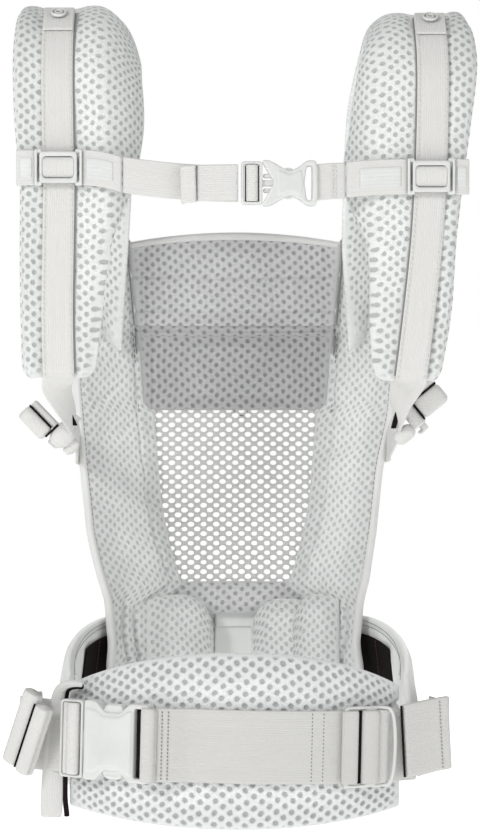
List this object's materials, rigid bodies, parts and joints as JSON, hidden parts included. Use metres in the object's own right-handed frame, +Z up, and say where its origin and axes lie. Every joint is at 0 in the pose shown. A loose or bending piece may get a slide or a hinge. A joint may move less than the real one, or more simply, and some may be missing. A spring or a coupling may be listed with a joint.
{
  "type": "soft baby carrier",
  "caption": "Soft structured baby carrier: padded mesh panel, shoulder straps with a chest strap, waistbelt with lumbar pad and side-release buckles, standing as worn.",
  "frame": {"origin": "middle of the waist loop, level with the lowest edge of the lumbar pad", "axes": "+Z up, +Y towards the wearer's front and the baby panel, -Y towards the lumbar pad and waist buckle, +X to the wearer's right"},
  "size_m": [0.3219, 0.2402, 0.556],
  "materials": {
    "air_mesh": "three-dimensional spacer mesh, matte",
    "inner_mesh": "dark backed spacer mesh, matte",
    "open_mesh": "open net",
    "webbing": "flat woven webbing",
    "satin_binding": "satin twill",
    "elastic_band": "woven band with elastic",
    "black_lining": "matte brushed lining",
    "buckle_plastic": "satin moulded acetal"
  },
  "bodies": {
    "root": {"panel_upper": "inner_mesh", "mesh_window": "open_mesh", "seat_band": "inner_mesh", "bolster_left": "air_mesh", "bolster_right": "air_mesh", "seat_pad_left": "air_mesh", "seat_pad_right": "air_mesh", "belt_centre": "satin_binding", "waist_belt": "air_mesh", "waist_wing_left": "satin_binding", "waist_wing_right": "satin_binding", "wing_lining_left": "black_lining", "wing_lining_right": "black_lining", "waist_webbing": "webbing", "waist_webbing_left": "webbing", "waist_webbing_right": "webbing", "waist_webbing_end": "webbing", "waist_buckle_female": "buckle_plastic", "shoulder_strap_left": "air_mesh", "strap_webbing_left": "webbing", "strap_top_patch_left": "webbing", "strap_snap_left": "buckle_plastic", "pfa_webbing_left": "webbing", "pfa_anchor_left": "webbing", "shoulder_strap_right": "air_mesh", "strap_webbing_right": "webbing", "strap_top_patch_right": "webbing", "strap_snap_right": "buckle_plastic", "pfa_webbing_right": "webbing", "pfa_anchor_right": "webbing"},
    "head_rest": {"head_support": "inner_mesh", "head_binding": "satin_binding"},
    "chest_left": {"chest_slider_left": "buckle_plastic", "chest_band_left": "elastic_band", "chest_band_end_left": "elastic_band", "chest_webbing_left": "webbing"},
    "chest_right": {"chest_slider_right": "buckle_plastic", "chest_band_right": "elastic_band", "chest_band_end_right": "elastic_band", "chest_webbing_right": "webbing", "chest_buckle_female": "buckle_plastic"},
    "chest_plug": {"chest_buckle_male": "buckle_plastic", "chest_tail": "webbing"},
    "chest_prong_up": {"chest_prong_upper": "buckle_plastic"},
    "chest_prong_low": {"chest_prong_lower": "buckle_plastic"},
    "waist_plug": {"waist_buckle_male": "buckle_plastic", "waist_tail_roll": "webbing"},
    "waist_prong_up": {"waist_prong_upper": "buckle_plastic"},
    "waist_prong_low": {"waist_prong_lower": "buckle_plastic"},
    "adjuster": {"waist_adjuster": "buckle_plastic"},
    "lumbar": {"lumbar_pad": "air_mesh"},
    "arm_lock_left": {"pfa_buckle_left": "buckle_plastic", "pfa_tail_left": "webbing"},
    "arm_lock_right": {"pfa_buckle_right": "buckle_plastic", "pfa_tail_right": "webbing"}
  },
  "joints": [
    {"name": "head_fold", "type": "hinge", "parent": "root", "child": "head_rest", "pos_m": [-0.0035, 0.12, 0.339], "axis": [-1, 0, 0], "range_deg": [0, 170]},
    {"name": "chest_height", "type": "slide", "parent": "root", "child": "chest_left", "axis": [0.02, 0, 0.9998], "range_m": [-0.035, 0.035]},
    {"name": "chest_height_right", "type": "slide", "parent": "root", "child": "chest_right", "axis": [0.02, 0, 0.9998], "range_m": [-0.035, 0.035]},
    {"name": "chest_release", "type": "slide", "parent": "chest_left", "child": "chest_plug", "axis": [-1, 0, 0], "range_m": [0, 0.025]},
    {"name": "chest_squeeze", "type": "hinge", "parent": "chest_plug", "child": "chest_prong_up", "pos_m": [0.0155, -0.1065, 0.4347], "axis": [0, 1, 0], "range_deg": [0, 4], "stiffness_Nm_per_rad": 0.05},
    {"name": "chest_squeeze_low", "type": "hinge", "parent": "chest_plug", "child": "chest_prong_low", "pos_m": [0.0155, -0.1065, 0.4253], "axis": [0, 1, 0], "range_deg": [-4, 0], "stiffness_Nm_per_rad": 0.05},
    {"name": "waist_release", "type": "slide", "parent": "root", "child": "waist_plug", "axis": [-0.8658, 0.5, 0.0199], "range_m": [0, 0.026]},
    {"name": "waist_squeeze", "type": "hinge", "parent": "waist_plug", "child": "waist_prong_up", "pos_m": [-0.10195, -0.07209, 0.07135], "axis": [0.4999, 0.866, -0.0115], "range_deg": [0, 4], "stiffness_Nm_per_rad": 0.1},
    {"name": "waist_squeeze_low", "type": "hinge", "parent": "waist_plug", "child": "waist_prong_low", "pos_m": [-0.10248, -0.07209, 0.04835], "axis": [0.4999, 0.866, -0.0115], "range_deg": [-4, 0], "stiffness_Nm_per_rad": 0.1},
    {"name": "adjuster_slide", "type": "hinge", "parent": "root", "child": "adjuster", "pos_m": [0, 0.075, 0.0575], "axis": [0.023, 0, 0.9997], "range_deg": [-10, 1.5]},
    {"name": "lumbar_slide", "type": "hinge", "parent": "root", "child": "lumbar", "pos_m": [0, 0.075, 0], "axis": [0, 0, 1], "range_deg": [-6, 6]},
    {"name": "arm_lock_tilt_left", "type": "hinge", "parent": "root", "child": "arm_lock_left", "pos_m": [-0.121, -0.006, 0.266], "axis": [0.6428, 0, 0.766], "range_deg": [-10, 10]},
    {"name": "arm_lock_tilt_right", "type": "hinge", "parent": "root", "child": "arm_lock_right", "pos_m": [0.1185, -0.006, 0.276], "axis": [0.6428, 0, -0.766], "range_deg": [-10, 10]}
  ],
  "couplings": [
    {"joint": "chest_height_right", "follows": "chest_height", "ratio": 1},
    {"joint": "chest_squeeze_low", "follows": "chest_squeeze", "ratio": -1},
    {"joint": "waist_squeeze_low", "follows": "waist_squeeze", "ratio": -1}
  ]
}
